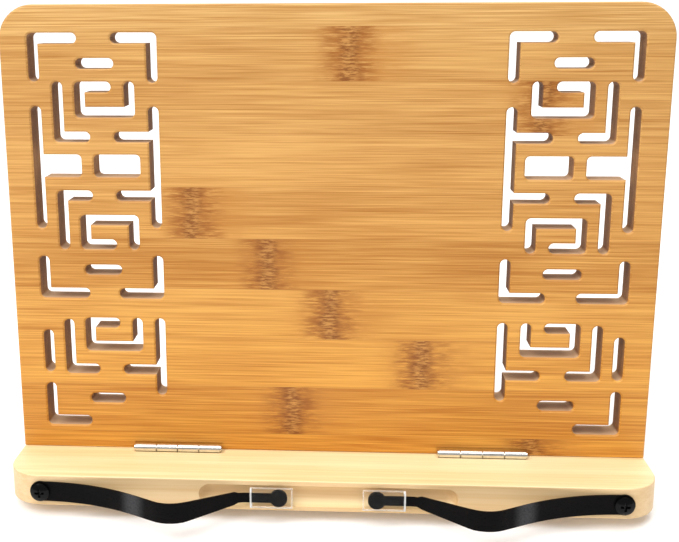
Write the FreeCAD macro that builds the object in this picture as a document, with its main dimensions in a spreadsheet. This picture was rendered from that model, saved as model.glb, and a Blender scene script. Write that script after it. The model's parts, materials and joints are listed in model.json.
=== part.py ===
import FreeCAD, Part
import math
import os
import re

import Sketcher

# A folding bamboo stand for an album or an open book, in millimetres.
# The parts are drawn in the panel's own frame: +X right, +Y to the back, +Z up along the panel, with
# the foot of the panel's front face at the origin. Leaning the whole stand back by the recline angle
# then gives its standing position, with +Z up from the table.

Vector = FreeCAD.Vector
Rotation = FreeCAD.Rotation
Placement = FreeCAD.Placement

X_AXIS = Vector(1, 0, 0)
Y_AXIS = Vector(0, 1, 0)
Z_AXIS = Vector(0, 0, 1)
ALONG_X = Rotation(Y_AXIS, 90)
TO_THE_BACK = Rotation(X_AXIS, -90)
TO_THE_FRONT = Rotation(X_AXIS, 90)
SIDES = (("left", -1), ("right", 1))

DRIVING_SIZES = {
    # back panel
    "panel_width": 340,
    "panel_height": 240,
    "panel_thickness": 13,
    "panel_corner": 18,
    "panel_edge_round": 1.2,
    "recline": 8,
    # fretwork: slot width, and the centre lines of its columns (from the side) and rows (from the foot)
    "slot_width": 5.5,
    "slot_bevel": 0.8,
    "col_a": 17.1,
    "col_b": 28.8,
    "col_c": 40.35,
    "col_d": 66.25,
    "col_e": 78.55,
    "row_top": 223.1,
    "row_top_dash": 210.3,
    "row_curl_high": 198.4,
    "row_curl_low": 185.4,
    "row_over_window": 172.6,
    "row_window": 157.4,
    "row_under_window": 141.6,
    "row_second_high": 128.5,
    "row_second_low": 115.3,
    "row_mid_dash": 101.4,
    "row_mid": 88.4,
    "row_third_high": 71.8,
    "row_third_low": 58.6,
    "row_hook": 45.4,
    "row_low_dash": 28.6,
    "row_bottom": 15.3,
    "window_height": 12,
    "window_round": 2.5,
    "window_side_near": 14.5,
    "window_side_far": 39.8,
    "window_mid_near": 46.3,
    "window_mid_far": 70.8,
    # ledge
    "seat_gap": 0.3,
    "ledge_depth": 36.5,
    "ledge_thickness": 16.8,
    "ledge_corner": 19,
    "ledge_edge_round": 0.8,
    "cove_length": 134,
    "cove_radius": 5.8,
    "cove_out": 0.5,
    # butt hinges
    "hinge_spread": 83,
    "hinge_length": 46.5,
    "hinge_rise": 1.2,
    "knuckle_radius": 2.4,
    "knuckle_gap": 0.6,
    "knuckle_clear": 0.3,
    "hinge_pin_radius": 1,
    "running_clear": 0.05,
    "leaf_thickness": 1,
    "ledge_leaf_width": 9.4,
    "prop_leaf_width": 17,
    "ledge_leaf_offset": 0.2,
    "prop_leaf_offset": 1.5,
    "mortise_clear": 0.1,
    "mortise_lead": 1.5,
    "mortise_tail": 7,
    "knuckle_relief": 0.4,
    "leaf_screw_spread": 16,
    "leaf_screw_radius": 1,
    "leaf_screw_length": 8,
    # page clips
    "clip_spread": 150.2,
    "clip_width": 10.6,
    "clip_thickness": 1,
    "clip_clear": 0.3,
    "clip_eye_radius": 5.5,
    "clip_flat": 28,
    "clip_apex": 72,
    "clip_apex_out": 24.5,
    "clip_tip_start": 104.3,
    "clip_tip_out": 2.6,
    "clip_head_at": 125,
    "clip_head_radius": 4.5,
    "clip_head_thickness": 2,
    "clip_taper_start": 78,
    "clip_waist_width": 6.8,
    "clip_neck_width": 5,
    "sleeve_start": 110.3,
    "sleeve_length": 21.9,
    "sleeve_height": 11,
    "sleeve_thickness": 4.4,
    "sleeve_wall": 0.5,
    "clip_screw_radius": 1.9,
    "clip_screw_head": 4.9,
    "clip_screw_rise": 2.6,
    "clip_screw_length": 15,
    # prop board and its notches
    "prop_pivot_height": 150,
    "prop_pivot_back": 2.5,
    "prop_open": 24,
    "prop_width": 60,
    "prop_thickness": 9,
    "prop_top_drop": 2.6,
    "prop_top_corner": 5,
    "prop_foot_corner": 9,
    "notch_count": 5,
    "notch_pitch": 14,
    "notch_radius": 2.3,
    "notch_inset": 1.2,
    "notch_slope": 55,
    # wire bail and its brackets
    "wire_radius": 1.8,
    "bail_reach": 62,
    "bail_arm_spread": 36,
    "bail_bend": 5,
    "bail_stub": 12,
    "bracket_tube_radius": 3,
    "bracket_length": 6.5,
    "bracket_inside": 41.4,
    "bracket_plate_height": 24,
    "bracket_plate_thickness": 1,
    "bracket_screw_spread": 7.5,
}

# Fretwork strokes, one side: each ends at named lines, or at a plain distance where it ends free.
ROW_STROKES = (
    ("row_top", "col_a", 37.25),
    ("row_top", 60.25, "col_e"),
    ("row_top_dash", 41.75, 55.95),
    ("row_curl_high", "col_c", 54.05),
    ("row_curl_low", "col_c", "col_d"),
    ("row_over_window", "col_b", 42.25),
    ("row_over_window", 60.25, "col_e"),
    ("row_under_window", "col_b", 42.25),
    ("row_under_window", 60.25, "col_e"),
    ("row_second_high", "col_c", "col_d"),
    ("row_second_low", "col_c", 54.05),
    ("row_mid_dash", 41.75, 56.25),
    ("row_mid", "col_a", 38.45),
    ("row_mid", 60, "col_e"),
    ("row_third_high", "col_c", 54.05),
    ("row_third_low", "col_c", "col_d"),
    ("row_hook", "col_b", 42.05),
    ("row_hook", 60.55, "col_e"),
    ("row_low_dash", 41.75, 55.55),
    ("row_bottom", "col_a", 36.25),
)
COLUMN_STROKES = (
    ("col_a", 203.95, "row_top"),
    ("col_e", 203.25, "row_top"),
    ("col_c", "row_curl_low", "row_curl_high"),
    ("col_d", "row_curl_low", "row_curl_high"),
    ("col_b", "row_over_window", "row_curl_high"),
    ("col_e", 127.25, 185.55),
    ("col_a", 126.65, 185.85),
    ("col_b", "row_second_low", "row_under_window"),
    ("col_c", "row_second_low", "row_second_high"),
    ("col_d", "row_second_low", "row_second_high"),
    ("col_a", "row_mid", 106.05),
    ("col_e", "row_mid", 106.45),
    ("col_a", 46.25, 64.65),
    ("col_b", "row_hook", 70.85),
    ("col_c", "row_third_low", "row_third_high"),
    ("col_d", "row_third_low", "row_third_high"),
    ("col_e", 33.75, "row_third_high"),
    ("col_a", "row_bottom", 34.25),
)

doc = FreeCAD.newDocument("AlbumStand")
sheet = doc.addObject("Spreadsheet::Sheet", "Sizes")
for line, (alias, size) in enumerate(DRIVING_SIZES.items(), start=1):
    sheet.set(f"A{line}", alias)
    sheet.set(f"B{line}", str(size))
    sheet.setAlias(f"B{line}", alias)
doc.recompute()

nodes = {}


def size(alias):
    """The number in one of the sheet's cells."""
    return float(getattr(sheet, alias))


def linked(text):
    """An expression with every alias in it replaced by its cell; a plain number stays as it is."""
    return re.sub("[a-z_]+", lambda m: f"{sheet.Name}.{m[0]}" if m[0] in DRIVING_SIZES else m[0], str(text))


def value(text):
    """What an expression comes to."""
    return float(sheet.evalExpression(linked(text)))


# ---------------------------------------------------------------- primitives bound to the sheet


def bind(obj, **properties):
    for name, text in properties.items():
        obj.setExpression(name, linked(text))


def put(obj, at, turn=None):
    """Places a primitive: turned by a fixed rotation, its base point bound to the sheet."""
    obj.Placement = Placement(Vector(), turn or Rotation())
    for axis, text in zip("xyz", at):
        obj.setExpression(f".Placement.Base.{axis}", linked(text))
    return obj


def box(length, width, height, at):
    obj = doc.addObject("Part::Box", "Block")
    bind(obj, Length=length, Width=width, Height=height)
    return put(obj, at)


def cylinder(radius, height, at, turn=None):
    obj = doc.addObject("Part::Cylinder", "Round")
    bind(obj, Radius=radius, Height=height)
    return put(obj, at, turn)


def cone(low_radius, high_radius, height, at, turn=None):
    obj = doc.addObject("Part::Cone", "Taper")
    bind(obj, Radius1=low_radius, Radius2=high_radius, Height=height)
    return put(obj, at, turn)


def sphere(radius, at):
    obj = doc.addObject("Part::Sphere", "Ball")
    bind(obj, Radius=radius)
    return put(obj, at)


def fuse(parts):
    if len(parts) == 1:
        return parts[0]
    obj = doc.addObject("Part::MultiFuse", "Joined")
    obj.Shapes = parts
    obj.Refine = True
    return obj


def cut(base, tools):
    obj = doc.addObject("Part::Cut", "Cut")
    obj.Base = base
    obj.Tool = fuse(tools)
    return obj


def group(parts):
    """Separate solids kept as one sub-part, such as a set of equal screws."""
    obj = doc.addObject("Part::Compound", "Set")
    obj.Links = parts
    return obj


def shaped(name, shape):
    obj = doc.addObject("Part::Feature", name)
    obj.Shape = shape
    return obj


def moved(obj, where):
    """Carries a primitive that was drawn in a part's own frame to that part's place."""
    obj.recompute()
    for axis in "xyz":
        obj.setExpression(f".Placement.Base.{axis}", None)
    obj.Placement = where * obj.Placement
    return obj


def keep(label, obj, where=None):
    """Registers a finished sub-part, with the place of its own frame in the panel's frame."""
    obj.Label = label
    nodes[label] = (obj, where or Placement())


# ---------------------------------------------------------------- sketches


def new_sketch(body, name, plane, **offsets):
    """A sketch on one of the body's own planes, shifted along the sketch's own axes."""
    sketch = body.newObject("Sketcher::SketchObject", name)
    origin = next(f for f in body.Origin.OriginFeatures if f.Role == plane)
    sketch.AttachmentSupport = [(origin, "")]
    sketch.MapMode = "FlatFace"
    for axis, text in offsets.items():
        sketch.setExpression(f".AttachmentOffset.Base.{axis}", linked(text))
    return sketch


def pin_point(sketch, geometry, point, x, y):
    """Ties one point of the sketch to its distances from the origin."""
    for kind, text in (("DistanceX", x), ("DistanceY", y)):
        index = sketch.addConstraint(Sketcher.Constraint(kind, -1, 1, geometry, point, value(text)))
        sketch.setExpression(f"Constraints[{index}]", linked(text))


def add_slot(sketch, start, end, radius):
    """A round-ended slot between two centres, along X or along Y."""
    (x1, y1), (x2, y2) = ([value(text) for text in point] for point in (start, end))
    heading = math.atan2(y2 - y1, x2 - x1)
    reach = value(radius)
    side = Vector(-math.sin(heading), math.cos(heading), 0) * reach
    first, last = Vector(x1, y1, 0), Vector(x2, y2, 0)
    left, right, around = heading + math.pi / 2, heading - math.pi / 2, heading + 1.5 * math.pi
    near_arc = Part.ArcOfCircle(Part.Circle(first, Z_AXIS, reach), left, around)
    far_arc = Part.ArcOfCircle(Part.Circle(last, Z_AXIS, reach), right, left)
    low_line = Part.LineSegment(first - side, last - side)
    high_line = Part.LineSegment(last + side, first + side)
    a, low, b, high = sketch.addGeometry([near_arc, low_line, far_arc, high_line], False)
    joints = ((a, 2, low, 1), (low, 2, b, 1), (b, 2, high, 1), (high, 2, a, 1))
    sketch.addConstraint([Sketcher.Constraint("Tangent", *joint) for joint in joints])
    sketch.addConstraint(Sketcher.Constraint("Equal", a, b))
    index = sketch.addConstraint(Sketcher.Constraint("Radius", a, reach))
    sketch.setExpression(f"Constraints[{index}]", linked(radius))
    pin_point(sketch, a, 3, *start)
    pin_point(sketch, b, 3, *end)


def add_plate(sketch, left, right, low, high, radii):
    """A rectangle with its sides on given lines. radii go round from the low left corner; None is sharp."""
    x1, x2, y1, y2 = (value(text) for text in (left, right, low, high))
    corners = (Vector(x1, y1, 0), Vector(x2, y1, 0), Vector(x2, y2, 0), Vector(x1, y2, 0))
    headings = (X_AXIS, Y_AXIS, -X_AXIS, -Y_AXIS)
    rounds = [value(radius) if radius else 0 for radius in radii]
    lines = []
    for i in range(4):
        start = corners[i] + headings[i] * rounds[i]
        end = corners[(i + 1) % 4] - headings[i] * rounds[(i + 1) % 4]
        lines.append(sketch.addGeometry(Part.LineSegment(start, end), False))
        kind = "Horizontal" if i % 2 == 0 else "Vertical"
        sketch.addConstraint(Sketcher.Constraint(kind, lines[i]))
    for i in range(4):
        if not radii[i]:
            sketch.addConstraint(Sketcher.Constraint("Coincident", lines[i - 1], 2, lines[i], 1))
            continue
        centre = corners[i] + (headings[i] - headings[i - 1]) * rounds[i]
        turn = math.pi * (1 + i / 2)
        circle = Part.Circle(centre, Z_AXIS, rounds[i])
        arc = sketch.addGeometry(Part.ArcOfCircle(circle, turn, turn + math.pi / 2), False)
        sketch.addConstraint(Sketcher.Constraint("Tangent", lines[i - 1], 2, arc, 1))
        sketch.addConstraint(Sketcher.Constraint("Tangent", arc, 2, lines[i], 1))
        index = sketch.addConstraint(Sketcher.Constraint("Radius", arc, rounds[i]))
        sketch.setExpression(f"Constraints[{index}]", linked(radii[i]))
    placed = ((0, "DistanceY", low), (1, "DistanceX", right), (2, "DistanceY", high), (3, "DistanceX", left))
    for i, kind, text in placed:
        index = sketch.addConstraint(Sketcher.Constraint(kind, -1, 1, lines[i], 1, value(text)))
        sketch.setExpression(f"Constraints[{index}]", linked(text))


def add_half_capsule(sketch, half_run, radius):
    """Half of a round-ended bar that lies along the sketch's own X axis."""
    run, reach = value(half_run), value(radius)
    tops = [Vector(sign * run, reach, 0) for sign in (-1, 1)]
    ends = [Vector(sign * (run + reach), 0, 0) for sign in (-1, 1)]
    circles = [Part.Circle(Vector(sign * run, 0, 0), Z_AXIS, reach) for sign in (-1, 1)]
    pieces = [
        Part.ArcOfCircle(circles[1], 0, math.pi / 2),
        Part.LineSegment(tops[1], tops[0]),
        Part.ArcOfCircle(circles[0], math.pi / 2, math.pi),
        Part.LineSegment(ends[0], ends[1]),
    ]
    right, top, left, middle = sketch.addGeometry(pieces, False)
    sketch.addConstraint(Sketcher.Constraint("Tangent", right, 2, top, 1))
    sketch.addConstraint(Sketcher.Constraint("Tangent", top, 2, left, 1))
    sketch.addConstraint(Sketcher.Constraint("Coincident", left, 2, middle, 1))
    sketch.addConstraint(Sketcher.Constraint("Coincident", middle, 2, right, 1))
    sketch.addConstraint(Sketcher.Constraint("Horizontal", middle))
    sketch.addConstraint(Sketcher.Constraint("PointOnObject", middle, 1, -1))
    sketch.addConstraint(Sketcher.Constraint("Equal", left, right))
    index = sketch.addConstraint(Sketcher.Constraint("Radius", right, reach))
    sketch.setExpression(f"Constraints[{index}]", linked(radius))
    pin_point(sketch, left, 3, f"-({half_run})", "0")
    pin_point(sketch, right, 3, half_run, "0")


def pad(body, name, sketch, length, reverse=False):
    feature = body.newObject("PartDesign::Pad", name)
    feature.Profile = sketch
    feature.Reversed = reverse
    feature.setExpression("Length", linked(length))
    return feature


def pocket(body, name, sketch, length, reverse=False, midplane=False):
    feature = body.newObject("PartDesign::Pocket", name)
    feature.Profile = sketch
    feature.Reversed = reverse
    feature.Midplane = midplane
    feature.setExpression("Length", linked(length))
    return feature


def edge_names(shape, wanted):
    return [f"Edge{i}" for i, edge in enumerate(shape.Edges, start=1) if wanted(edge.BoundBox)]


def soften(body, kind, name, base, edges, amount):
    """Rounds or bevels some edges of the feature before it."""
    feature = body.newObject(f"PartDesign::{kind}", name)
    feature.Base = (base, edges)
    feature.setExpression("Radius" if kind == "Fillet" else "Size", linked(amount))
    return feature


# ---------------------------------------------------------------- derived places

lean = math.radians(size("recline"))
prop_open = math.radians(size("prop_open"))
stand_height = (
    (size("seat_gap") + size("ledge_thickness")) * math.cos(lean) + size("panel_thickness") * math.sin(lean)
)
pivot_back = size("panel_thickness") + size("prop_pivot_back")
prop_inside = size("prop_leaf_offset")
prop_outside = prop_inside + size("prop_thickness")

# the prop is as long as its foot needs to reach the table
pivot_above_table = (
    stand_height + size("prop_pivot_height") * math.cos(lean) - pivot_back * math.sin(lean)
)
prop_lean = prop_open - lean
prop_length = (pivot_above_table + prop_inside * math.sin(prop_lean)) / math.cos(prop_lean)

# the bail stands square to the prop with its bar in the lowest notch, which settles where its ends pivot
bail_back = size("panel_thickness") + size("bracket_tube_radius")
bar_depth = prop_outside - size("notch_inset")
bail_height = size("prop_pivot_height") + (
    bar_depth - size("bail_reach") - (bail_back - pivot_back) * math.cos(prop_open)
) / math.sin(prop_open)
bar_back = bail_back + size("bail_reach") * math.cos(prop_open)
bar_height = bail_height + size("bail_reach") * math.sin(prop_open)
notch_drop = (bar_back - pivot_back) * math.sin(prop_open) + (
    size("prop_pivot_height") - bar_height
) * math.cos(prop_open)

# ---------------------------------------------------------------- frames of the jointed parts

PROP_PLACE = Placement(Vector(0, pivot_back, size("prop_pivot_height")), Rotation(X_AXIS, size("prop_open")))
BAIL_PLACE = Placement(Vector(0, bail_back, bail_height), Rotation(X_AXIS, size("prop_open")))
LEAVES_DOWN = Placement(Vector(), Rotation(X_AXIS, -90))
PANEL_BACK_PLACE = Placement(Vector(0, size("panel_thickness"), bail_height), TO_THE_BACK)
PANEL_LEAF_PLACE = Placement(Vector(0, pivot_back, size("prop_pivot_height")), TO_THE_BACK)


def ledge_hinge_place(side):
    pin_y = -size("knuckle_radius") - size("knuckle_clear")
    return Placement(Vector(side * size("hinge_spread"), pin_y, size("hinge_rise")), Rotation())


def clip_place(side):
    """A clip's own frame: +X towards the middle of the stand, -Y away from the ledge's front face."""
    at = Vector(
        side * size("clip_spread"), -size("ledge_depth"), -size("seat_gap") - size("ledge_thickness") / 2
    )
    return Placement(at, Rotation(Y_AXIS, 180 if side > 0 else 0))


# ---------------------------------------------------------------- screws


def countersunk_screws(places, points, length):
    """Small flat-headed screws, each drawn from its head's centre, with their tips along +Z or -Z."""
    turn = Rotation(X_AXIS, 0 if points > 0 else 180)
    screws = []
    rim = "leaf_screw_radius + leaf_thickness"
    for x, y, z in places:
        head = cone(rim, "leaf_screw_radius", "leaf_thickness", (x, y, z), turn)
        shank = cylinder("leaf_screw_radius", length, (x, y, f"{z} + leaf_thickness * {points}"), turn)
        screws.append(fuse([head, shank]))
    return screws


def screw_seats(places, points, length):
    """What such screws take out of the pieces they go through, a little larger all round."""
    turn = Rotation(X_AXIS, 0 if points > 0 else 180)
    seats = []
    for x, y, z in places:
        wide = "leaf_screw_radius + leaf_thickness + running_clear"
        narrow = "leaf_screw_radius + running_clear"
        seats.append(cone(wide, narrow, "leaf_thickness", (x, y, z), turn))
        seats.append(cylinder(narrow, f"{length} + leaf_thickness + 0.5", (x, y, z), turn))
    return seats


# ---------------------------------------------------------------- butt hinges
# A hinge's own frame: its pin along X through the origin, both leaves towards +Y when it is closed.
# The upper leaf is above the pin (+Z) and the lower leaf below it.

KNUCKLES = 4
LEAF_START = "knuckle_radius + knuckle_clear"
# how far above and below the pin the ledge hinges' leaves lie, because the pin is above the ledge's top
LEDGE_LEAF_OFFSETS = {1: "(ledge_leaf_offset - hinge_rise)", -1: "(ledge_leaf_offset + hinge_rise)"}


def leaf_screw_places(side, offset, width):
    """The heads' centres on the face of a leaf that looks at the other leaf."""
    y = f"{LEAF_START} + {width} / 2"
    return [(f"leaf_screw_spread * {i}", y, f"{side} * {offset}") for i in (-1, 0, 1)]


def hinge_leaf(side, first_knuckle, offset, width):
    """A leaf with every second knuckle. side is 1 for the upper leaf, -1 for the lower one."""
    low = f"{side} * {offset}" if side > 0 else f"-{offset} - leaf_thickness"
    parts = [box("hinge_length", width, "leaf_thickness", ("-hinge_length / 2", LEAF_START, low))]
    pitch = f"(hinge_length + knuckle_gap) / {KNUCKLES}"
    for i in range(first_knuckle, KNUCKLES, 2):
        start = f"-hinge_length / 2 + {i} * {pitch}"
        parts.append(cylinder("knuckle_radius", f"{pitch} - knuckle_gap", (start, 0, 0), ALONG_X))
        parts.append(box(f"{pitch} - knuckle_gap", f"{LEAF_START} + 0.5", "leaf_thickness", (start, 0, low)))
    bore_start = ("-hinge_length / 2 - 1", 0, 0)
    bore = cylinder("hinge_pin_radius + running_clear", "hinge_length + 2", bore_start, ALONG_X)
    return cut(fuse(parts), [bore, *screw_seats(leaf_screw_places(side, offset, width), side, 0)])


def hinge_pin():
    """A plain pin with a thin head at each end."""
    pin = cylinder("hinge_pin_radius", "hinge_length + 1", ("-hinge_length / 2 - 0.5", 0, 0), ALONG_X)
    heads = [
        cylinder("knuckle_radius - 0.4", 0.6, (f"{side} * (hinge_length / 2 + 0.4) - 0.3", 0, 0), ALONG_X)
        for side in (-1, 1)
    ]
    return fuse([pin, *heads])


# ---------------------------------------------------------------- back panel


def stroke_x(text):
    """Distances of the fretwork count from the panel's side edge."""
    return f"panel_width / 2 - {text}"


def hinge_seats(side, points, length):
    """Pilot holes for one ledge hinge's screws: points is 1 up into the panel, -1 down into the ledge."""
    place = ledge_hinge_place(side)
    screws = leaf_screw_places(points, LEDGE_LEAF_OFFSETS[points], "ledge_leaf_width")
    seats = screw_seats(screws, points, length)
    return [moved(seat, place) for seat in seats]


def make_back_panel():
    body = doc.addObject("PartDesign::Body", "PanelBoard")
    outline = new_sketch(body, "PanelOutline", "XZ_Plane")
    half = "panel_width / 2"
    corners = (None, None, "panel_corner", "panel_corner")
    add_plate(outline, f"-{half}", half, "0", "panel_height", corners)
    board = pad(body, "Board", outline, "panel_thickness", reverse=True)
    doc.recompute()
    rim = edge_names(board.Shape, lambda b: b.YLength < 1e-3 and not (b.ZMax < 1e-3))
    soften(body, "Fillet", "EasedRim", board, rim, "panel_edge_round")

    rows = new_sketch(body, "RowStrokes", "XZ_Plane")
    for row, start, end in ROW_STROKES:
        add_slot(rows, (stroke_x(end), row), (stroke_x(start), row), "slot_width / 2")
    columns = new_sketch(body, "ColumnStrokes", "XZ_Plane")
    for column, low, high in COLUMN_STROKES:
        add_slot(columns, (stroke_x(column), low), (stroke_x(column), high), "slot_width / 2")
    windows = new_sketch(body, "Windows", "XZ_Plane")
    for near, far in (("window_side_near", "window_side_far"), ("window_mid_near", "window_mid_far")):
        low, high = ("row_window - window_height / 2", "row_window + window_height / 2")
        add_plate(windows, stroke_x(far), stroke_x(near), low, high, ["window_round"] * 4)
    cuts = [
        pocket(body, "RowSlots", rows, "panel_thickness + 1"),
        pocket(body, "ColumnSlots", columns, "panel_thickness + 1"),
        pocket(body, "WindowHoles", windows, "panel_thickness + 1"),
    ]
    mirror = body.newObject("PartDesign::Mirrored", "OtherSide")
    mirror.Originals = cuts
    mirror.MirrorPlane = (next(f for f in body.Origin.OriginFeatures if f.Role == "YZ_Plane"), [""])
    body.Tip = mirror
    doc.recompute()
    side_limit = size("panel_width") / 2 - size("col_a") / 2
    low_limit = size("row_bottom") / 2
    high_limit = size("panel_height") - size("col_a") / 2

    def on_slot_rim(bounds):
        inside = abs(bounds.Center.x) < side_limit and low_limit < bounds.ZMin and bounds.ZMax < high_limit
        return inside and bounds.YMax < 1e-3

    slot_rims = edge_names(mirror.Shape, on_slot_rim)
    body.Tip = soften(body, "Chamfer", "SlotBevel", mirror, slot_rims, "slot_bevel")

    tools = []
    for side in (-1, 1):
        leaf_width = "hinge_length + mortise_clear * 2"
        depth = "ledge_leaf_offset + leaf_thickness"
        start = f"{side} * hinge_spread - ( {leaf_width} ) / 2"
        tools.append(box(leaf_width, "ledge_leaf_width + mortise_clear", depth, (start, "0", "0")))
        relief_width, relief_height = "hinge_length + 2", "hinge_rise + knuckle_radius + mortise_clear"
        start = f"{side} * hinge_spread - ( {relief_width} ) / 2"
        relief_depth = "mortise_lead + knuckle_relief"
        tools.append(box(relief_width, relief_depth, relief_height, (start, "-mortise_lead", "0")))
        tools += hinge_seats(side, 1, "leaf_screw_length")
    prop_screws = leaf_screw_places(-1, "prop_leaf_offset", "prop_leaf_width")
    for seat in screw_seats(prop_screws, -1, "leaf_screw_length"):
        tools.append(moved(seat, PANEL_LEAF_PLACE))
    for x, y, z in bracket_screw_places():
        tools += [moved(seat, PANEL_BACK_PLACE) for seat in screw_seats([(x, y, z)], -1, "leaf_screw_length")]
    keep("back_panel", cut(body, tools))


# ---------------------------------------------------------------- ledge


def make_ledge():
    body = doc.addObject("PartDesign::Body", "LedgeBoard")
    outline = new_sketch(body, "LedgeOutline", "XY_Plane", z="-seat_gap")
    half = "panel_width / 2"
    corners = ("ledge_corner", "ledge_corner", None, None)
    add_plate(outline, f"-{half}", half, "-ledge_depth", "panel_thickness", corners)
    board = pad(body, "Board", outline, "ledge_thickness", reverse=True)
    doc.recompute()
    rim = edge_names(board.Shape, lambda b: b.ZLength < 1e-3 and b.YMax < size("panel_thickness") - 1e-3)
    soften(body, "Fillet", "EasedRim", board, rim, "ledge_edge_round")

    middle = "-seat_gap - ledge_thickness / 2"
    front = "-ledge_depth"
    scoop = new_sketch(body, "CoveOutline", "XY_Plane", y=f"{front} - cove_out", z=middle)
    add_half_capsule(scoop, "cove_length / 2 - cove_radius", "cove_radius")
    cove = body.newObject("PartDesign::Groove", "Cove")
    cove.Profile = scoop
    cove.ReferenceAxis = (scoop, ["H_Axis"])
    cove.Angle = 360
    body.Tip = cove

    tools = []
    pin_y = "-knuckle_radius - knuckle_clear"
    groove = "knuckle_radius + 2 * running_clear + knuckle_clear"
    for side in (-1, 1):
        centre = f"{side} * hinge_spread"
        width = "( hinge_length + mortise_clear * 2 )"
        depth = "ledge_leaf_offset + leaf_thickness"
        leaf_seat = (f"{centre} - {width} / 2", "-mortise_lead", f"-({depth})")
        tools.append(box(width, "mortise_lead + ledge_leaf_width + mortise_clear", depth, leaf_seat))
        run = "( hinge_length + 2 )"
        tools.append(cylinder(groove, run, (f"{centre} - {run} / 2", pin_y, "hinge_rise"), ALONG_X))
        right_tail = (f"{centre} + {run} / 2", pin_y, "hinge_rise")
        left_tail = (f"{centre} - {run} / 2 - mortise_tail", pin_y, "hinge_rise")
        tools.append(cone(groove, 0.2, "mortise_tail", right_tail, ALONG_X))
        tools.append(cone(0.2, groove, "mortise_tail", left_tail, ALONG_X))
        tools += hinge_seats(side, -1, "leaf_screw_length")
        pilot = "clip_screw_radius + running_clear"
        hole_x = f"{side} * clip_spread"
        tools.append(cylinder(pilot, "clip_screw_length", (hole_x, front, middle), TO_THE_BACK))
    keep("ledge", cut(body, tools))


def make_ledge_hinges():
    for name, side in SIDES:
        place = ledge_hinge_place(side)
        width = "ledge_leaf_width"
        keep(f"{name}_hinge_panel_leaf", hinge_leaf(1, 0, LEDGE_LEAF_OFFSETS[1], width), place)
        keep(f"{name}_hinge_ledge_leaf", hinge_leaf(-1, 1, LEDGE_LEAF_OFFSETS[-1], width), place)
        keep(f"{name}_hinge_pin", hinge_pin(), place)
        for board, points in (("panel", 1), ("ledge", -1)):
            places = leaf_screw_places(points, LEDGE_LEAF_OFFSETS[points], width)
            screws = countersunk_screws(places, points, "leaf_screw_length")
            keep(f"{name}_hinge_{board}_screws", group(screws), place)


# ---------------------------------------------------------------- page clips


def rounded_path(points, radii):
    """A path through some points, flat in Z, whose inner corners are tangent arcs."""
    edges = []
    start = points[0]
    for before, corner, after, radius in zip(points, points[1:], points[2:], radii):
        way_in = (corner - before).normalize()
        way_out = (after - corner).normalize()
        turn = way_in.getAngle(way_out)
        reach = radius * math.tan(turn / 2)
        arc_start = corner - way_in * reach
        arc_end = corner + way_out * reach
        inward = (way_out - way_in).normalize()
        middle = corner + inward * radius * (1 / math.cos(turn / 2) - 1)
        edges.append(Part.LineSegment(start, arc_start).toShape())
        edges.append(Part.Arc(arc_start, middle, arc_end).toShape())
        start = arc_end
    edges.append(Part.LineSegment(start, points[-1]).toShape())
    return edges


def beside(points, radii, distance):
    """The same path, shifted sideways: to the left of its heading for a positive distance."""
    headings = [(b - a).normalize() for a, b in zip(points, points[1:])]
    lefts = [Vector(-way.y, way.x, 0) for way in headings]
    shifted = [points[0] + lefts[0] * distance]
    new_radii = []
    for corner, left, next_left, way, radius in zip(points[1:], lefts, lefts[1:], headings, radii):
        shifted.append(corner + (left + next_left) * (distance / (1 + left.dot(next_left))))
        turns_left = next_left.dot(way) < 0
        new_radii.append(radius - distance if turns_left else radius + distance)
    shifted.append(points[-1] + lefts[-1] * distance)
    return shifted, new_radii


CLIP_BENDS = (110, 17, 12)


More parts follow.
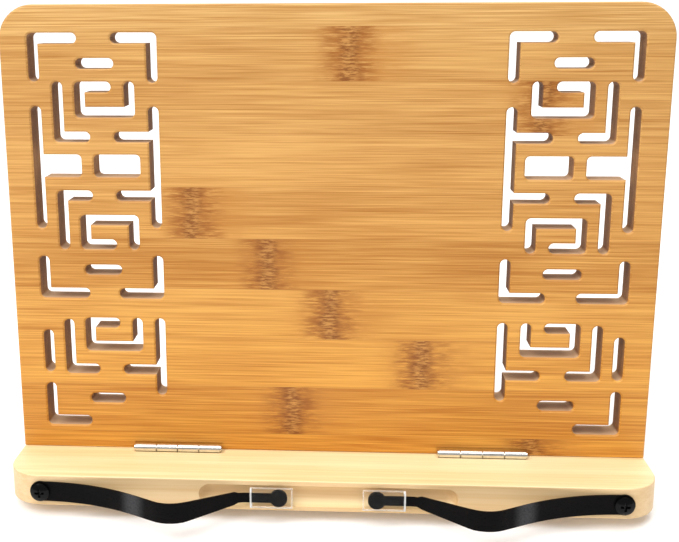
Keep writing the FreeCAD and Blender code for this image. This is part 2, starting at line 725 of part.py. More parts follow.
def make_page_clip(name, side):
    """A bent spring strip. It swings on its screw, and carries a round head on a narrow neck."""
    half = size("clip_thickness") / 2
    eye = size("clip_eye_radius")
    lying = -size("clip_clear") - half
    tip = -size("clip_tip_out")
    tip_end = size("clip_head_at") + size("clip_head_radius")
    bends = [
        Vector(-eye - 1, lying, 0),
        Vector(size("clip_flat"), lying, 0),
        Vector(size("clip_apex"), -size("clip_apex_out"), 0),
        Vector(size("clip_tip_start"), tip, 0),
        Vector(tip_end, tip, 0),
    ]
    inner = rounded_path(*beside(bends, CLIP_BENDS, half))
    outer = rounded_path(*beside(bends, CLIP_BENDS, -half))
    ends = [
        Part.LineSegment(a.valueAt(a_at), b.valueAt(b_at)).toShape()
        for a, a_at, b, b_at in (
            (inner[0], inner[0].FirstParameter, outer[0], outer[0].FirstParameter),
            (inner[-1], inner[-1].LastParameter, outer[-1], outer[-1].LastParameter),
        )
    ]
    profile = Part.Face(Part.Wire(Part.sortEdges(inner + outer + ends)[0]))
    bent = shaped("BentStrip", profile.extrude(Z_AXIS * 4 * eye))
    bent.Placement = Placement(Z_AXIS * -2 * eye, Rotation())

    shoulder = size("sleeve_start") - 6
    widths = ("clip_width", "clip_waist_width", "clip_neck_width")
    wide, waist, narrow = (size(alias) / 2 for alias in widths)
    taper = [
        Vector(0, 0, -wide),
        Vector(size("clip_taper_start"), 0, -wide),
        Vector(shoulder - 2, 0, -waist),
        Vector(shoulder, 0, -narrow),
        Vector(size("clip_head_at"), 0, -narrow),
    ]
    taper += [Vector(v.x, 0, -v.z) for v in reversed(taper)]
    flat = shaped("FlatOutline", Part.Face(Part.makePolygon(taper + taper[:1])).extrude(Y_AXIS * -30))
    eye_disc = cylinder("clip_eye_radius", 30, (0, 0, 0), TO_THE_FRONT)
    tip_disc = cylinder("clip_head_radius", 30, ("clip_head_at", 0, 0), TO_THE_FRONT)
    strip = doc.addObject("Part::MultiCommon", "Strip")
    strip.Shapes = [bent, fuse([flat, eye_disc, tip_disc])]
    head_y = "-clip_tip_out + clip_head_thickness / 2"
    head_at = ("clip_head_at", head_y, 0)
    head = cylinder("clip_head_radius", "clip_head_thickness", head_at, TO_THE_FRONT)
    hole = cylinder("clip_screw_radius + running_clear", 30, (0, 0, 0), TO_THE_FRONT)
    keep(f"{name}_page_clip", cut(fuse([strip, head]), [hole]), clip_place(side))


def flat_tube_bar(length, height, thickness, start):
    """A bar with half-round long edges, along X."""
    rise = f"({height} - {thickness}) / 2"
    y = "-clip_tip_out"
    middle = box(length, thickness, f"2 * {rise}", (start, f"{y} - ({thickness}) / 2", f"-{rise}"))
    edges = [
        cylinder(f"({thickness}) / 2", length, (start, y, f"{end} * {rise}"), ALONG_X) for end in (-1, 1)
    ]
    return fuse([middle, *edges])


def make_sleeve(name, side):
    outside = flat_tube_bar("sleeve_length", "sleeve_height", "sleeve_thickness", "sleeve_start")
    bore_height, bore_thickness = "(sleeve_height - 2 * sleeve_wall)", "(sleeve_thickness - 2 * sleeve_wall)"
    bore = flat_tube_bar("sleeve_length + 2", bore_height, bore_thickness, "sleeve_start - 1")
    keep(f"{name}_clip_sleeve", cut(outside, [bore]), clip_place(side))


def make_clip_screw(name, side):
    """A pan-headed screw with a cross recess. Its own frame has +Z out of the head."""
    under_head = "clip_clear + clip_thickness + 0.15"
    rim = cylinder("clip_screw_head", "clip_screw_rise", (0, 0, under_head))
    dome_radius = "(clip_screw_head ^ 2 / 2.8 + 0.7)"
    dome = sphere(dome_radius, (0, 0, f"{under_head} + clip_screw_rise - {dome_radius}"))
    head = doc.addObject("Part::MultiCommon", "PanHead")
    head.Shapes = [rim, dome]
    shank_length = f"clip_screw_length + {under_head}"
    shank = cylinder("clip_screw_radius", shank_length, (0, 0, "1 - clip_screw_length"))
    depth = f"{under_head} + clip_screw_rise - 1.5"
    arm, slit = "clip_screw_head", "clip_screw_head / 4"
    recess = [
        box(arm, slit, 3, (f"-({arm}) / 2", f"-({slit}) / 2", depth)),
        box(slit, arm, 3, (f"-({slit}) / 2", f"-({arm}) / 2", depth)),
    ]
    place = clip_place(side)
    place.Rotation = TO_THE_FRONT
    keep(f"{name}_clip_screw", cut(fuse([head, shank]), recess), place)


# ---------------------------------------------------------------- prop


def make_prop_board():
    """Drawn with its pivot at the origin, hanging down -Z with its inside towards the panel."""
    body = doc.addObject("PartDesign::Body", "PropBody")
    outline = new_sketch(body, "PropOutline", "XZ_Plane", z="-prop_leaf_offset")
    corners = ("prop_foot_corner", "prop_foot_corner", "prop_top_corner", "prop_top_corner")
    half = "prop_width / 2"
    add_plate(outline, f"-{half}", half, f"-{prop_length}", "-prop_top_drop", corners)
    pad(body, "Board", outline, "prop_thickness", reverse=True)
    mortise = new_sketch(body, "LeafMortise", "XZ_Plane", z="-prop_leaf_offset")
    half_leaf = "hinge_length / 2 + mortise_clear"
    mortise_foot = f"-({LEAF_START} + prop_leaf_width + mortise_clear)"
    add_plate(mortise, f"-({half_leaf})", half_leaf, mortise_foot, "1", [None] * 4)
    pocket(body, "Mortise", mortise, "leaf_thickness")

    notch = new_sketch(body, "Notch", "YZ_Plane")
    add_notch(notch, bar_depth, -notch_drop)
    lowest = pocket(body, "LowestNotch", notch, "prop_width + 2", midplane=True)
    steps = body.newObject("PartDesign::LinearPattern", "Notches")
    steps.Originals = [lowest]
    steps.Direction = (next(f for f in body.Origin.OriginFeatures if f.Role == "Z_Axis"), [""])
    steps.setExpression("Length", linked("notch_pitch * (notch_count - 1)"))
    steps.setExpression("Occurrences", linked("notch_count"))
    body.Tip = steps
    places = leaf_screw_places(1, "prop_leaf_offset", "prop_leaf_width")
    seats = screw_seats(places, 1, "prop_thickness - 2")
    keep("prop_board", cut(body, [moved(seat, LEAVES_DOWN) for seat in seats]), PROP_PLACE)


def add_notch(sketch, seat_y, seat_z):
    """A stepped notch: a round seat with a square lower side and a sloping upper side."""
    radius = size("notch_radius")
    slope = math.radians(size("notch_slope"))
    mouth_y = prop_outside + 1
    seat = Vector(seat_y, seat_z, 0)
    low = seat - Y_AXIS * radius
    high = seat + Vector(-math.sin(slope), math.cos(slope), 0) * radius
    mouth_low = Vector(mouth_y, low.y, 0)
    mouth_high = Vector(mouth_y, high.y + (mouth_y - high.x) * math.tan(slope), 0)
    deepest = seat - X_AXIS * radius
    pieces = [
        Part.Arc(high, deepest, low),
        Part.LineSegment(low, mouth_low),
        Part.LineSegment(mouth_low, mouth_high),
        Part.LineSegment(mouth_high, high),
    ]
    arc, floor, mouth, ramp = sketch.addGeometry(pieces, False)
    sketch.addConstraint(Sketcher.Constraint("Tangent", arc, 2, floor, 1))
    sketch.addConstraint(Sketcher.Constraint("Coincident", floor, 2, mouth, 1))
    sketch.addConstraint(Sketcher.Constraint("Coincident", mouth, 2, ramp, 1))
    sketch.addConstraint(Sketcher.Constraint("Tangent", ramp, 2, arc, 1))
    sketch.addConstraint(Sketcher.Constraint("Horizontal", floor))
    sketch.addConstraint(Sketcher.Constraint("Vertical", mouth))
    index = sketch.addConstraint(Sketcher.Constraint("Radius", arc, radius))
    sketch.setExpression(f"Constraints[{index}]", linked("notch_radius"))
    pin_point(sketch, arc, 3, seat_y, seat_z)
    pin_point(sketch, ramp, 1, mouth_y, mouth_high.y)


def make_prop_hinge():
    offset, width = "prop_leaf_offset", "prop_leaf_width"
    keep("prop_hinge_panel_leaf", hinge_leaf(-1, 0, offset, width), PANEL_LEAF_PLACE)
    keep("prop_hinge_pin", hinge_pin(), PANEL_LEAF_PLACE)
    screws = countersunk_screws(leaf_screw_places(-1, offset, width), -1, "leaf_screw_length")
    keep("prop_hinge_panel_screws", group(screws), PANEL_LEAF_PLACE)
    prop_leaf_place = PROP_PLACE * LEAVES_DOWN
    keep("prop_hinge_prop_leaf", hinge_leaf(1, 1, offset, width), prop_leaf_place)
    screws = countersunk_screws(leaf_screw_places(1, offset, width), 1, "prop_thickness - 2.5")
    keep("prop_hinge_prop_screws", group(screws), prop_leaf_place)


# ---------------------------------------------------------------- wire bail


def make_bail():
    """A U of round wire with its two ends bent outwards, drawn with its arms along +Y from the pivot line."""
    arm, reach, stub = size("bail_arm_spread"), size("bail_reach"), size("bail_stub")
    route = [
        Vector(-arm - stub, 0, 0),
        Vector(-arm, 0, 0),
        Vector(-arm, reach, 0),
        Vector(arm, reach, 0),
        Vector(arm, 0, 0),
        Vector(arm + stub, 0, 0),
    ]
    path = Part.Wire(rounded_path(route, [size("bail_bend")] * 4))
    section = Part.Wire(Part.makeCircle(size("wire_radius"), route[0], X_AXIS))
    keep("wire_bail", shaped("Wire", path.makePipeShell([section], True, True)), BAIL_PLACE)


def bracket_middle(side):
    return f"{side} * (bracket_inside + bracket_length / 2)"


def bracket_screw_places():
    """Seen from behind the panel: the heads' centres on the brackets' plates."""
    return [
        (bracket_middle(side), f"{end} * bracket_screw_spread", "bracket_plate_thickness")
        for side in (-1, 1)
        for end in (-1, 1)
    ]


def make_bail_brackets():
    """Two small strap brackets, drawn in a frame with +Z out of the panel's back and +Y towards its foot."""
    for i, (name, side) in enumerate(SIDES):
        start = f"{bracket_middle(side)} - bracket_length / 2"
        plate_foot = "-bracket_plate_height / 2"
        plate_at = (start, plate_foot, 0)
        plate = box("bracket_length", "bracket_plate_height", "bracket_plate_thickness", plate_at)
        tube = cylinder("bracket_tube_radius", "bracket_length", (start, 0, "bracket_tube_radius"), ALONG_X)
        saddle_at = (start, "-bracket_tube_radius", 0)
        saddle = box("bracket_length", "2 * bracket_tube_radius", "bracket_tube_radius", saddle_at)
        bore_at = (f"{start} - 1", 0, "bracket_tube_radius")
        bore = cylinder("wire_radius + running_clear", "bracket_length + 2", bore_at, ALONG_X)
        places = bracket_screw_places()[2 * i:2 * i + 2]
        bracket = cut(fuse([plate, tube, saddle]), [bore, *screw_seats(places, -1, 0)])
        keep(f"{name}_bail_bracket", bracket, PANEL_BACK_PLACE)
        screws = countersunk_screws(places, -1, "leaf_screw_length")
        keep(f"{name}_bail_bracket_screws", group(screws), PANEL_BACK_PLACE)


# ---------------------------------------------------------------- assembly


def main():
    make_back_panel()
    make_ledge()
    make_ledge_hinges()
    for name, side in SIDES:
        make_page_clip(name, side)
        make_sleeve(name, side)
        make_clip_screw(name, side)
    make_prop_board()
    make_prop_hinge()
    make_bail()
    make_bail_brackets()
    doc.recompute()

    # stand the parts on the table, leaning back, with the middle of their depth over the origin
    standing = Placement(Vector(0, 0, stand_height), Rotation(X_AXIS, -size("recline")))
    for obj, where in nodes.values():
        obj.Placement = standing * where
    depth = [limit for obj, _ in nodes.values() for limit in deep_limits(obj.Shape)]
    standing.Base.y = -(min(depth) + max(depth)) / 2
    for obj, where in nodes.values():
        obj.Placement = standing * where
    doc.recompute()

    for obj in doc.Objects:
        if "Invalid" in obj.State or "Error" in obj.State:
            raise RuntimeError(f"{obj.Label} failed: {obj.State}")
    for label, (obj, _) in nodes.items():
        if obj.Shape.isNull() or not obj.Shape.isValid() or not obj.Shape.Solids:
            raise RuntimeError(f"{label} has no valid shape")
    os.makedirs("parts", exist_ok=True)
    for label, (obj, _) in nodes.items():
        obj.Shape.exportStep(os.path.join("parts", f"{label}.step"))
    print(f"{len(nodes)} nodes, prop {prop_length:.2f} long, bail pivot {bail_height:.2f} up the panel")


def deep_limits(shape):
    bounds = shape.optimalBoundingBox(False)
    return bounds.YMin, bounds.YMax


main()
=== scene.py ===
import json
import math

import bpy
from mathutils import Euler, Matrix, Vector

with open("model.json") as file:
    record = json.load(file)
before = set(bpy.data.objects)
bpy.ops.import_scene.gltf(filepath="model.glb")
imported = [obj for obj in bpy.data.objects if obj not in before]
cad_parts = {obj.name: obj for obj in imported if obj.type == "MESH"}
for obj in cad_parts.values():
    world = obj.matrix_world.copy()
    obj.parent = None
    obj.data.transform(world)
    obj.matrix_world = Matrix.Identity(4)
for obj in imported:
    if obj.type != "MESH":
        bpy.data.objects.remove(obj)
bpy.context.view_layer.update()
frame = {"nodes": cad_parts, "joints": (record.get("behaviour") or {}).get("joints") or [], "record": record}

# Looks for the folding bamboo stand: every piece is a CAD node with a procedural material.

MM = 0.001
JOINTS = {joint["name"]: joint for joint in frame["joints"]}
PANEL_MOUNT = frame["record"]["mounts"][0]
PANEL_NORMAL = Vector(PANEL_MOUNT["axis"])
PANEL_UP = PANEL_NORMAL.cross(Vector((1, 0, 0)))
RECLINE = math.asin(PANEL_NORMAL.z)
PROP_LINE = Vector(JOINTS["prop_fold"]["pos_m"])
MOUNT_HEIGHT = 60 * MM
PANEL_FOOT = Vector(PANEL_MOUNT["pos_m"]) - MOUNT_HEIGHT * PANEL_UP
PROP_LEAN = math.radians(16)


# ---------------------------------------------------------------- node graph helper


class Graph:
    """A material whose nodes are added one call at a time. Each call gives back the node's first output."""

    def __init__(self, name):
        self.material = bpy.data.materials.new(name)
        self.material.use_nodes = True
        self.tree = self.material.node_tree
        self.tree.nodes.clear()
        self.shader = self.tree.nodes.new("ShaderNodeBsdfPrincipled")
        output = self.tree.nodes.new("ShaderNodeOutputMaterial")
        self.tree.links.new(self.shader.outputs[0], output.inputs["Surface"])

    def feed(self, socket, value):
        if isinstance(value, bpy.types.NodeSocket):
            self.tree.links.new(value, socket)
        else:
            socket.default_value = value

    def add(self, kind, inputs, output=0, **settings):
        node = self.tree.nodes.new(f"ShaderNode{kind}")
        for name, setting in settings.items():
            setattr(node, name, setting)
        for name, value in inputs.items():
            self.feed(node.inputs[name], value)
        return node.outputs[output]

    def math(self, operation, *values):
        return self.add("Math", dict(enumerate(values)), operation=operation)

    def mapped(self, value, low, high, to_low=0.0, to_high=1.0):
        inputs = {"Value": value, "From Min": low, "From Max": high, "To Min": to_low, "To Max": to_high}
        return self.add("MapRange", inputs, interpolation_type="SMOOTHSTEP")

    def noise(self, vector, detail=3.0, roughness=0.55):
        """Noise over a vector that is already scaled to cells per metre along each axis."""
        inputs = {"Vector": vector, "Scale": 1.0, "Detail": detail, "Roughness": roughness}
        return self.add("TexNoise", inputs)

    def split(self, vector):
        node = self.tree.nodes.new("ShaderNodeSeparateXYZ")
        self.feed(node.inputs[0], vector)
        return node.outputs

    def scaled(self, vector, factors):
        return self.add("VectorMath", {0: vector, 1: factors}, operation="MULTIPLY")

    def shifted(self, vector, offset):
        return self.add("VectorMath", {0: vector, 1: offset}, operation="ADD")

    def combined(self, x, y, z):
        return self.add("CombineXYZ", {"X": x, "Y": y, "Z": z})

    def blend(self, factor, first, second, mode="MIX"):
        inputs = {"Factor": factor, 6: first, 7: second}
        return self.add("Mix", inputs, output=2, data_type="RGBA", blend_type=mode)

    def tinted(self, colour, factor, tint):
        """The colour multiplied by the tint, as far as the factor says."""
        return self.blend(factor, colour, tint, "MULTIPLY")

    def added(self, total, value, weight):
        """The total with a noise value's swing about its middle added to it."""
        return self.math("MULTIPLY_ADD", self.math("SUBTRACT", value, 0.5), weight, total)

    def object_place(self):
        return self.add("TexCoord", {}, output=3)

    def object_normal(self):
        return self.add("TexCoord", {}, output=1)

    def part_coordinates(self, origin, lean):
        """Coordinates in a part's own frame, which leans back from upright by the given angle."""
        inputs = {"Vector": self.object_place(), "Location": origin, "Rotation": (lean, 0.0, 0.0)}
        return self.add("Mapping", inputs, vector_type="TEXTURE")

    def bump(self, height, strength, distance):
        return self.add("Bump", {"Height": height, "Strength": strength, "Distance": distance})

    def finish(self, **sockets):
        names = {name.replace(" ", "_").lower(): name for name in self.shader.inputs.keys()}
        for name, value in sockets.items():
            self.feed(self.shader.inputs[names[name]], value)
        return self.material


def rgb(*channels):
    return (*channels, 1.0)


# ---------------------------------------------------------------- woods

LIGHT_BAMBOO, DARK_BAMBOO = rgb(0.70, 0.400, 0.130), rgb(0.40, 0.163, 0.030)
STRIP_PITCH = 27.4 * MM
STRIP_START = 9.5 * MM - STRIP_PITCH
# how much of a strip's width the glue line takes up at each of its edges
GLUE_LINE = 0.014
# how far a strip's grain is moved along from its neighbour's, in metres, and what sets its redness apart
STRIP_SHIFT, RED_SEED = 3.71, 37.3
# where each strip has its culm node, in millimetres: along the panel from its middle, the lowest strip first,
# and along the prop from its hinge. One that lies beyond the part's end doesn't show
PANEL_CULM_NODES = (110, -20, 49, 0, -33, -72, 250, 106, 9, -250)
PROP_CULM_NODES = (-60, -110, -35, -90, -20)


def strip_colour(g, flat, strip):
    """Straight grain, a tone of its own for each strip, and sparse darker fibre bundles."""
    fibre = g.noise(g.scaled(flat, (20, 1000, 1750)), 3, 0.5)
    thread = g.noise(g.scaled(flat, (11, 500, 900)), 3, 0.55)
    streak = g.noise(g.scaled(flat, (7, 230, 430)), 3, 0.55)
    broad = g.noise(g.scaled(flat, (3, 60, 130)), 3, 0.5)
    cloud = g.noise(g.scaled(flat, (10, 20, 22)), 3, 0.5)
    own = g.add("TexWhiteNoise", {"W": strip}, noise_dimensions="1D")
    own_red = g.add("TexWhiteNoise", {"W": g.math("ADD", strip, RED_SEED)}, noise_dimensions="1D")
    tone = 0.5
    tones = ((fibre, 1.05), (thread, 0.85), (streak, 0.45), (broad, 0.35), (cloud, 0.45), (own, 0.24))
    for value, weight in tones:
        tone = g.added(tone, value, weight)
    colour = g.blend(g.mapped(tone, 0.05, 0.95), DARK_BAMBOO, LIGHT_BAMBOO)
    colour = g.tinted(colour, g.math("MULTIPLY", own_red, 0.16), rgb(1.0, 0.80, 0.56))
    bundle = g.mapped(g.noise(g.scaled(flat, (9, 620, 1250)), 2, 0.5), 0.57, 0.72, 0.0, 0.42)
    return g.blend(bundle, colour, rgb(0.40, 0.150, 0.024)), fibre, streak


def listed(g, strip, values):
    """The value that the list gives for this strip, in millimetres within half a metre, as metres."""
    ramp = g.tree.nodes.new("ShaderNodeValToRGB")
    ramp.color_ramp.interpolation = "CONSTANT"
    stops = ramp.color_ramp.elements
    total = len(values)
    while len(stops) < total:
        stops.new(0.5)
    for i, value in enumerate(values):
        stops[i].position = max(0.0, (i - 0.25) / total)
        level = value * MM + 0.5
        stops[i].color = rgb(level, level, level)
    g.feed(ramp.inputs[0], g.math("DIVIDE", g.math("ADD", strip, 0.25), float(total)))
    return g.math("SUBTRACT", ramp.outputs[0], 0.5)


def culm_node_marks(g, colour, flat, away):
    """Dark flecks at each strip's culm node and reddish streaks beside it. away is the distance from it."""
    reach = g.math("ABSOLUTE", away)
    aside = g.math("ABSOLUTE", g.math("SUBTRACT", away, 6 * MM))
    dashes = g.mapped(g.noise(g.scaled(flat, (95, 300, 780)), 4, 0.65), 0.36, 0.60)
    patches = g.mapped(g.noise(g.scaled(flat, (45, 60, 150)), 2, 0.5), 0.32, 0.56)
    flecks = g.mapped(g.noise(g.scaled(flat, (190, 400, 1050)), 3, 0.6), 0.42, 0.58)
    blush = g.mapped(aside, 4 * MM, 36 * MM, 0.62, 0.0)
    blush = g.math("MULTIPLY", blush, g.math("MULTIPLY_ADD", dashes, 0.6, 0.4))
    halo = g.math("MULTIPLY", g.mapped(reach, 4 * MM, 20 * MM, 1.0, 0.0), dashes)
    halo = g.math("MULTIPLY", halo, g.math("MULTIPLY_ADD", patches, 0.60, 0.36))
    stain = g.mapped(reach, 3 * MM, 9 * MM, 0.45, 0.0)
    core = g.math("MULTIPLY", g.mapped(reach, 2.5 * MM, 7.5 * MM, 1.0, 0.0), flecks)
    glint = g.math("MULTIPLY", g.mapped(reach, 1 * MM, 5 * MM, 1.0, 0.0), g.math("SUBTRACT", 1.0, flecks))
    colour = g.blend(blush, colour, rgb(0.50, 0.205, 0.038))
    colour = g.blend(halo, colour, rgb(0.29, 0.090, 0.012))
    colour = g.blend(stain, colour, rgb(0.40, 0.150, 0.030))
    colour = g.blend(g.math("MULTIPLY", core, 0.70), colour, rgb(0.19, 0.058, 0.009))
    return g.blend(g.math("MULTIPLY", glint, 0.22), colour, rgb(0.80, 0.47, 0.15)), core


def cut_walls(g, colour, place, walls):
    """The walls of the cut-outs are darker and browner than the lacquered faces, partly end grain and partly
    painted shade, and those that face up are paler, a painted highlight.
    """
    x, _, z = g.split(place)
    _, normal_y, normal_z = g.split(g.object_normal())
    sideways = g.mapped(g.math("ABSOLUTE", normal_y), 0.35, 0.60, 1.0, 0.0)
    inside = g.mapped(g.math("ABSOLUTE", x), walls["half_width"] - 2 * MM, walls["half_width"], 1.0, 0.0)
    inside = g.math("MULTIPLY", inside, g.mapped(z, *walls["foot"]))
    inside = g.math("MULTIPLY", inside, g.mapped(z, *walls["head"], 1.0, 0.0))
    wall = g.math("MULTIPLY", sideways, inside)
    # painted shade in the cut-outs, with some of the end grain's own browner tone: the walls are darkened and
    # mottled
    end_grain_and_shade_mottle = g.mapped(g.noise(g.scaled(place, (90, 300, 90)), 3, 0.6), 0.3, 0.7, 0.60, 0.84)
    # painted highlight: walls that face up are made paler
    sill_highlight = g.math("MULTIPLY", wall, g.mapped(normal_z, 0.3, 0.8))
    colour = g.blend(g.math("MULTIPLY", wall, end_grain_and_shade_mottle), colour, rgb(0.20, 0.088, 0.038))
    return g.blend(sill_highlight, colour, rgb(0.58, 0.37, 0.21)), wall


def bamboo(name, origin, lean, culm_nodes, upright, golden, pale, walls):
    """Edge-glued bamboo strips, side by side along the part's X if upright and else along its Z.
    They are more golden over one range of Z and paler over the other, the paler one a painted highlight.
    walls says where the cut-outs are: within half_width of the part's middle line, and between the ranges of
    Z at their foot and head."""
    g = Graph(name)
    place = g.part_coordinates(origin, lean)
    x, depth, z = g.split(place)
    along, over = (z, x) if upright else (x, z)
    count = g.math("DIVIDE", g.math("SUBTRACT", over, STRIP_START), STRIP_PITCH)
    strip = g.math("FLOOR", count)
    within = g.math("FRACT", count)
    flat = g.combined(g.math("ADD", along, g.math("MULTIPLY", strip, STRIP_SHIFT)), depth, over)

    colour, fibre, streak = strip_colour(g, flat, strip)
    colour = g.tinted(colour, g.mapped(z, *golden), rgb(1.16, 0.99, 0.52))
    # painted highlight: the colour is made paler over the pale range of Z, which on the panel is its top
    colour = g.tinted(colour, g.mapped(z, *pale), rgb(1.12, 1.24, 1.45))

    wander = g.math("SUBTRACT", g.noise(g.scaled(flat, (60, 60, 160)), 2), 0.5)
    from_node = g.math("SUBTRACT", along, listed(g, strip, culm_nodes))
    away = g.math("MULTIPLY_ADD", wander, 9 * MM, from_node)
    colour, core = culm_node_marks(g, colour, flat, away)

    edge = g.math("MINIMUM", within, g.math("SUBTRACT", 1.0, within))
    glue = g.mapped(edge, 0.0, GLUE_LINE, 0.30, 0.0)
    colour = g.blend(glue, colour, rgb(0.42, 0.19, 0.05))
    colour, wall = cut_walls(g, colour, place, walls)

    height = g.math("MULTIPLY_ADD", fibre, 0.6, g.math("MULTIPLY", streak, 0.4))
    height = g.math("SUBTRACT", height, g.math("MULTIPLY", core, 0.15))
    roughness = g.math("MULTIPLY_ADD", wall, 0.5, g.mapped(streak, 0.2, 0.8, 0.38, 0.52))
    return g.finish(
        base_color=colour, roughness=roughness, ior=1.5, specular_ior_level=0.28, coat_weight=0.06,
        coat_roughness=0.25, normal=g.bump(height, 0.16, 0.12 * MM),
    )


def pale_wood(name, origin, lean):
    """Light planed wood with long fine grain along X, and darker where it doesn't face up, which is painted
    shade.
    """
    g = Graph(name)
    place = g.part_coordinates(origin, lean)
    wave = g.noise(g.scaled(place, (5, 30, 30)), 2)
    drift = g.combined(0.0, g.math("MULTIPLY", wave, 2.5 * MM), g.math("MULTIPLY", wave, 3 * MM))
    bent = g.shifted(place, drift)
    fibre = g.noise(g.scaled(bent, (16, 1100, 1100)), 4, 0.6)
    rings = g.noise(g.scaled(bent, (3, 230, 230)), 3, 0.55)
    cloud = g.noise(g.scaled(place, (14, 40, 40)), 2)
    tone = g.added(g.added(g.added(0.5, fibre, 0.7), rings, 1.2), cloud, 0.5)
    colour = g.blend(g.mapped(tone, 0.1, 0.9), rgb(0.83, 0.605, 0.29), rgb(0.95, 0.775, 0.46))
    # painted shade: faces that don't face up are tinted darker
    normal_z = g.split(g.object_normal())[2]
    colour = g.tinted(colour, g.mapped(normal_z, 0.45, 0.90, 1.0, 0.0), rgb(0.86, 0.76, 0.70))
    roughness = g.mapped(rings, 0.2, 0.8, 0.42, 0.55)
    return g.finish(
        base_color=colour, roughness=roughness, ior=1.48, coat_weight=0.12, coat_roughness=0.3,
        normal=g.bump(fibre, 0.14, 0.1 * MM),
    )


# ---------------------------------------------------------------- metals and plastic

# how far from the stand's middle the clear sleeves' two ends and the painted highlight stripes of the clips
# lie
SLEEVE_OUTER, SLEEVE_INNER = 39.9 * MM, 18.0 * MM
CLIP_HIGHLIGHT_AT = 99 * MM


def metal(name, colour, worn_colour, roughness, scale=(900, 900, 900)):
    """Plated or drawn metal with fine rub marks."""
    g = Graph(name)
    place = g.object_place()
    rub = g.noise(g.scaled(place, scale), 4, 0.6)
    spots = g.noise(g.scaled(place, (260, 260, 260)), 3, 0.5)
    tint = g.blend(g.mapped(spots, 0.42, 0.72, 0.0, 0.6), colour, worn_colour)
    rough = g.mapped(rub, 0.3, 0.7, roughness * 0.7, roughness * 1.4)
    return g.finish(base_color=tint, metallic=1.0, roughness=rough, normal=g.bump(rub, 0.06, 0.05 * MM))


def black_metal(name, roughness, edge_tint, gloss, clip_highlight_at=None):
    """Blackened metal, a little browner where worn. The last argument, if given, is how far from the middle a
    paler stripe lies: a painted highlight.
    """
    g = Graph(name)
    place = g.object_place()
    grain = g.noise(g.scaled(place, (500, 1500, 1500)), 4, 0.6)
    patch = g.noise(g.scaled(place, (70, 200, 200)), 3, 0.5)
    colour = g.blend(g.mapped(patch, 0.35, 0.75, 0.0, 0.5), rgb(0.0022, 0.0022, 0.0025), edge_tint)
    rough = g.mapped(grain, 0.25, 0.75, roughness * 0.8, roughness * 1.25)
    if clip_highlight_at:
        # painted highlight: a paler stripe at the given distance from the middle, on the clips' slopes beside
        # the bend
        from_middle = g.math("ABSOLUTE", g.split(place)[0])
        away = g.math("ABSOLUTE", g.math("SUBTRACT", from_middle, clip_highlight_at))
        highlight_stripe = g.mapped(away, 1 * MM, 8 * MM, 1.0, 0.0)
        highlight_stripe = g.math("MULTIPLY", highlight_stripe, g.mapped(grain, 0.2, 0.7, 0.6, 1.0))
        colour = g.blend(highlight_stripe, colour, rgb(0.055, 0.055, 0.058))
    return g.finish(
        base_color=colour, roughness=rough, ior=1.5, specular_ior_level=gloss,
        normal=g.bump(grain, 0.10, 0.05 * MM),
    )


def clear_vinyl(name):
    """Soft clear tube with faint draw lines, whiter at its cut ends and where it is seen edge on: painted
    highlights.
    """
    g = Graph(name)
    place = g.object_place()
    lines = g.noise(g.scaled(place, (60, 1400, 1400)), 3, 0.5)
    rough = g.mapped(lines, 0.3, 0.7, 0.04, 0.08)
    colour = g.blend(g.mapped(lines, 0.3, 0.8), rgb(0.95, 0.96, 0.95), rgb(0.99, 0.99, 0.98))
    # painted highlights: the tube is made more opaque, and so whiter, where it is seen edge on and at its cut
    # ends
    facing = g.add("LayerWeight", {"Blend": 0.5}, output=1)
    from_middle = g.math("ABSOLUTE", g.split(place)[0])
    outer_end_highlight = g.mapped(from_middle, SLEEVE_OUTER - 1.1 * MM, SLEEVE_OUTER - 0.6 * MM, 0.0, 0.9)
    inner_end_highlight = g.mapped(from_middle, SLEEVE_INNER + 0.4 * MM, SLEEVE_INNER + 0.9 * MM, 0.2, 0.0)
    end_highlights = g.math("MAXIMUM", outer_end_highlight, inner_end_highlight)
    solid = g.math("MAXIMUM", g.mapped(facing, 0.32, 0.80, 0.012, 0.95), end_highlights)
    return g.finish(
        base_color=colour, roughness=rough, ior=1.40, transmission_weight=0.5,
        alpha=solid, normal=g.bump(lines, 0.02, 0.05 * MM),
    )


def paper_floor(name):
    """White paper, faintly mottled and a little luminous."""
    g = Graph(name)
    place = g.object_place()
    mottle = g.noise(g.scaled(place, (3, 3, 3)), 2)
    colour = g.blend(g.mapped(mottle, 0.2, 0.8), rgb(0.93, 0.93, 0.93), rgb(0.95, 0.95, 0.95))
    return g.finish(
        base_color=colour, roughness=0.7, specular_ior_level=0.1,
        emission_color=rgb(1.0, 1.0, 1.0), emission_strength=0.08,
    )


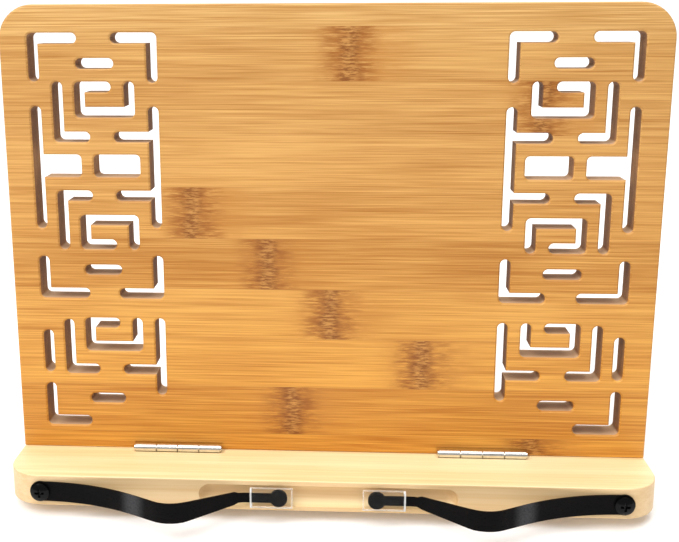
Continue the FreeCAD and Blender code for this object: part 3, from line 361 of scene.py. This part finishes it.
MATERIALS = {
    "bamboo": bamboo(
        "panel_bamboo", PANEL_FOOT, -RECLINE, PANEL_CULM_NODES, upright=False,
        golden=(190 * MM, 0.0), pale=(212 * MM, 238 * MM),
        walls={"half_width": 165 * MM, "foot": (5 * MM, 8 * MM), "head": (230 * MM, 234 * MM)},
    ),
    "prop": bamboo(
        "prop_bamboo", PROP_LINE, PROP_LEAN, PROP_CULM_NODES, upright=True,
        golden=(0.0, -300 * MM), pale=(100 * MM, 200 * MM),
        walls={"half_width": 28 * MM, "foot": (-165 * MM, -160 * MM), "head": (-12 * MM, -8 * MM)},
    ),
    "pale_bamboo": pale_wood("ledge_wood", PANEL_FOOT, -RECLINE),
    "nickel_hinge": metal("bright_nickel", rgb(0.80, 0.78, 0.74), rgb(0.66, 0.63, 0.58), 0.16),
    "bright_screw": metal("zinc_screws", rgb(0.72, 0.72, 0.71), rgb(0.60, 0.59, 0.56), 0.22),
    "black_spring_steel": black_metal("black_spring", 0.30, rgb(0.005, 0.0035, 0.003), 0.05, CLIP_HIGHLIGHT_AT),
    "black_screw": black_metal("black_screw", 0.16, rgb(0.004, 0.0035, 0.0035), 0.13),
    "clear_vinyl": clear_vinyl("clear_vinyl"),
    "steel_wire": metal("drawn_wire", rgb(0.70, 0.70, 0.70), rgb(0.55, 0.54, 0.52), 0.2, (200, 1600, 1600)),
    "zinc_bracket": metal("zinc_bracket", rgb(0.66, 0.66, 0.66), rgb(0.54, 0.54, 0.53), 0.3),
}


def dress_nodes():
    slots = {row["node"]: row["material_slot"] for row in frame["record"]["subparts"]}
    for name, obj in frame["nodes"].items():
        key = "prop" if name == "prop_board" else slots[name]
        obj.data.materials.clear()
        obj.data.materials.append(MATERIALS[key])


# ---------------------------------------------------------------- stage


def make_floor():
    """A pale sheet that runs back from under the stand and sweeps up behind it."""
    half_width, front, sweep_start, sweep_radius, top, steps = 4.0, -3.0, 1.6, 1.0, 4.0, 16
    profile = [(front, 0.0), (sweep_start, 0.0)]
    for i in range(1, steps + 1):
        angle = i / steps * math.pi / 2
        profile.append((sweep_start + sweep_radius * math.sin(angle), sweep_radius * (1 - math.cos(angle))))
    profile.append((sweep_start + sweep_radius, top))
    vertices = [(side * half_width, y, z) for y, z in profile for side in (-1, 1)]
    faces = [(2 * i, 2 * i + 1, 2 * i + 3, 2 * i + 2) for i in range(len(profile) - 1)]
    mesh = bpy.data.meshes.new("floor")
    mesh.from_pydata(vertices, [], faces)
    mesh.shade_smooth()
    mesh.materials.append(paper_floor("paper_floor"))
    floor = bpy.data.objects.new("floor", mesh)
    bpy.context.scene.collection.objects.link(floor)


def area_light(name, place, aim, size, power):
    data = bpy.data.lights.new(name, "AREA")
    data.shape = "RECTANGLE"
    data.size, data.size_y = size
    data.energy = power
    light = bpy.data.objects.new(name, data)
    light.location = place
    light.rotation_euler = (Vector(aim) - Vector(place)).to_track_quat("-Z", "Y").to_euler()
    bpy.context.scene.collection.objects.link(light)


def light_stage():
    world = bpy.data.worlds.new("studio")
    world.use_nodes = True
    background = world.node_tree.nodes["Background"]
    background.inputs["Color"].default_value = rgb(1.0, 1.0, 1.0)
    background.inputs["Strength"].default_value = 0.42
    bpy.context.scene.world = world
    area_light("key", (-0.90, -0.75, 1.30), (0, 0, 0.1), (1.0, 0.9), 15)
    area_light("overhead", (0.1, -0.2, 1.5), (0, -0.1, 0), (1.6, 1.2), 19)
    area_light("back_wash", (0.0, 1.0, 1.9), (0, 2.2, 0.4), (2.4, 1.0), 22)


def make_camera():
    data = bpy.data.cameras.new("camera")
    data.lens = 53.2
    data.sensor_width = 36.0
    data.shift_x, data.shift_y = 0.0795, -0.0535
    data.clip_start, data.clip_end = 0.01, 20.0
    camera = bpy.data.objects.new("camera", data)
    camera.location = (0.0072, -0.4917, 0.3241)
    camera.rotation_euler = Euler([math.radians(angle) for angle in (69.43, 0.70, 3.293)])
    bpy.context.scene.collection.objects.link(camera)
    bpy.context.scene.camera = camera


dress_nodes()
make_floor()
light_stage()
make_camera()
bpy.context.scene.view_settings.view_transform = "Standard"
